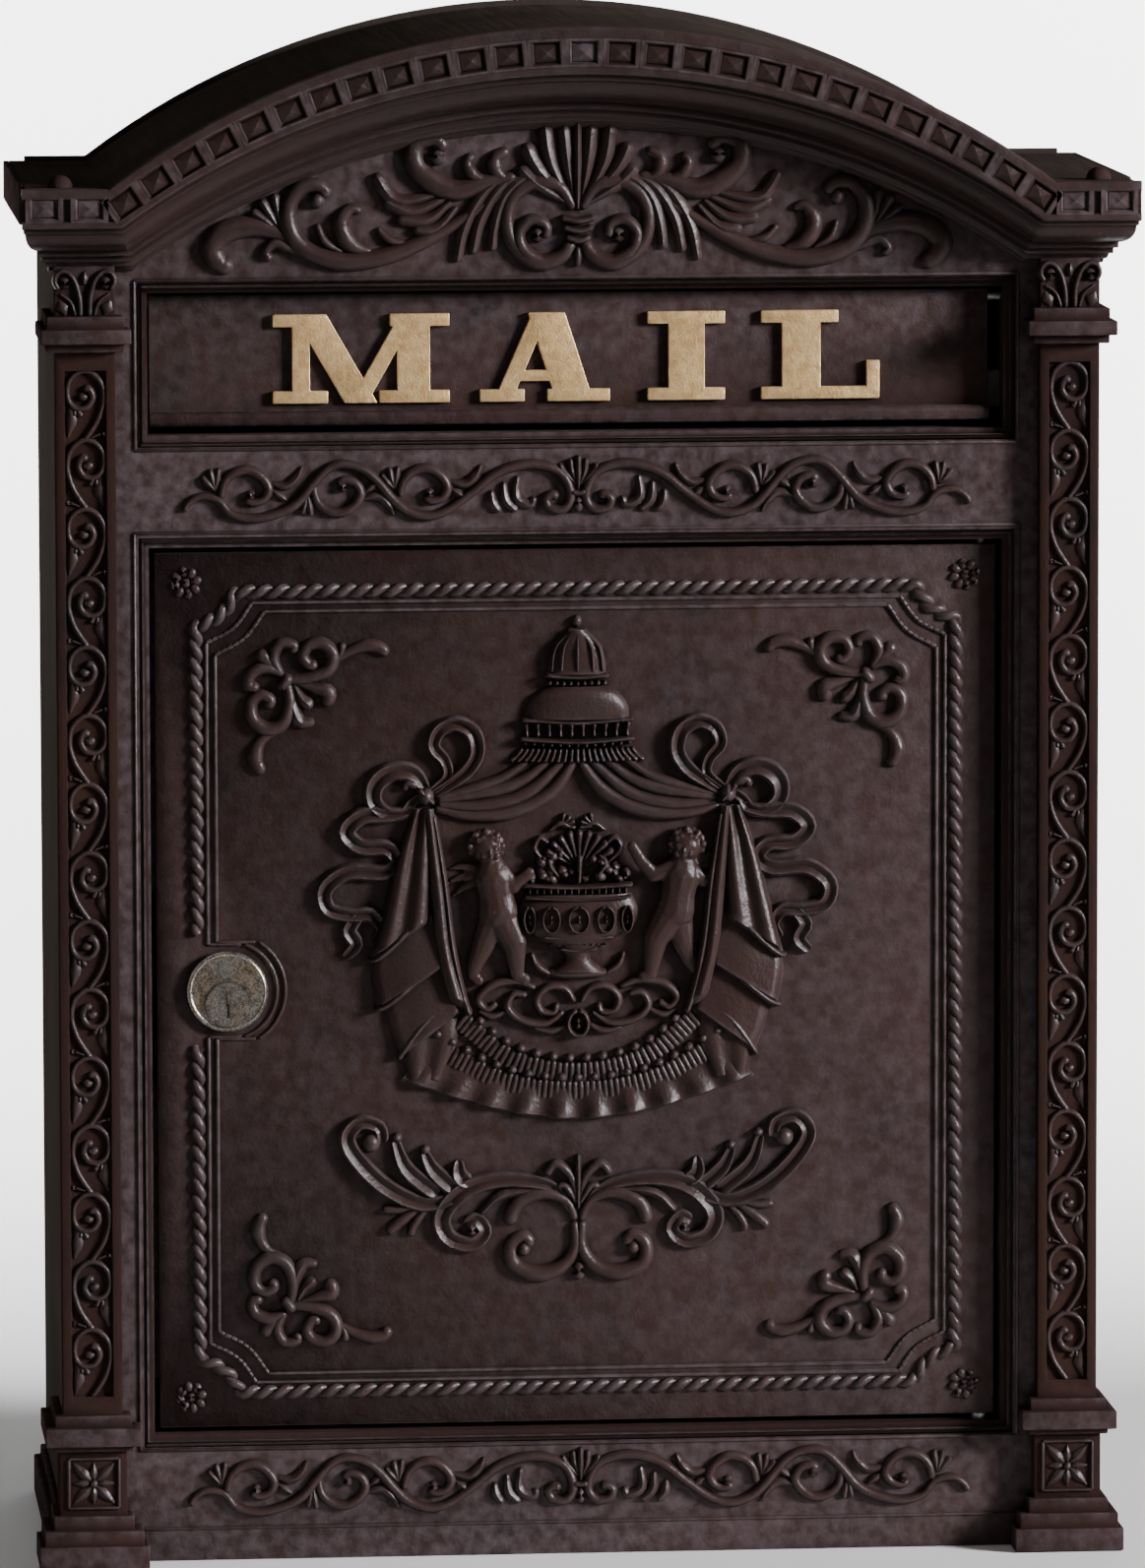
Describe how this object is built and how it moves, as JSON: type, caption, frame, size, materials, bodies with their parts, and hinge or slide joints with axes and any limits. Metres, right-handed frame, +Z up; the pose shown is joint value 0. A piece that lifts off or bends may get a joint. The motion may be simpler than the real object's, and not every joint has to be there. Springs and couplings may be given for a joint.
{
  "type": "wall letter box",
  "caption": "Cast wall letter box with an arched moulded cornice, corner pilasters, a hinged mail flap over its slot and a lockable access door.",
  "frame": {"origin": "centre of the four wall screws, on the wall plane", "axes": "+Y into the wall, so the front with its flap and door looks along -Y; +Z up; +X to the right seen from the front"},
  "size_m": [0.37, 0.16, 0.5156],
  "materials": {
    "cast_paint": "satin dark brown paint over sand-cast aluminium, bluish black in the recesses",
    "sheet_paint": "satin dark brown paint over smooth sheet",
    "gilt": "stippled gilt paint",
    "lock_metal": "worn satin nickel with a stippled face",
    "plain_steel": "zinc plated"
  },
  "bodies": {
    "case": {"face_frame": "cast_paint", "arch_cornice": "cast_paint", "cornice_return_left": "cast_paint", "cornice_return_right": "cast_paint", "pilaster_left": "cast_paint", "pilaster_right": "cast_paint", "side_base_left": "cast_paint", "side_base_right": "cast_paint", "side_panel_left": "sheet_paint", "side_panel_right": "sheet_paint", "roof_panel": "sheet_paint", "back_panel": "sheet_paint", "floor_panel": "sheet_paint", "corner_brackets": "sheet_paint", "bracket_screws": "plain_steel", "roof_bolts": "plain_steel", "flap_rod": "plain_steel", "flap_rod_lugs": "cast_paint", "flap_rod_clips": "plain_steel", "flap_stops": "cast_paint", "hinge_lug_upper": "cast_paint", "hinge_lug_lower": "cast_paint", "hinge_pin_upper": "plain_steel", "hinge_pin_lower": "plain_steel", "hinge_washer": "plain_steel", "lock_keeper": "cast_paint", "keeper_screws": "plain_steel"},
    "flap": {"mail_flap": "cast_paint", "mail_letters": "gilt"},
    "door": {"door_leaf": "cast_paint", "lock_body": "lock_metal", "lock_nut": "plain_steel"},
    "lock": {"lock_plug": "lock_metal", "lock_cam": "plain_steel", "cam_screw": "plain_steel"}
  },
  "joints": [
    {"name": "door_hinge", "type": "hinge", "parent": "case", "child": "door", "pos_m": [0.1362, -0.1235, -0.05], "axis": [0, 0, 1], "range_deg": [0, 95]},
    {"name": "flap_hinge", "type": "hinge", "parent": "case", "child": "flap", "pos_m": [0, -0.1205, 0.1815], "axis": [-1, 0, 0], "range_deg": [0, 65]},
    {"name": "lock_turn", "type": "hinge", "parent": "door", "child": "lock", "pos_m": [-0.1173, -0.12, -0.0528], "axis": [0, -1, 0], "range_deg": [0, 90]}
  ]
}
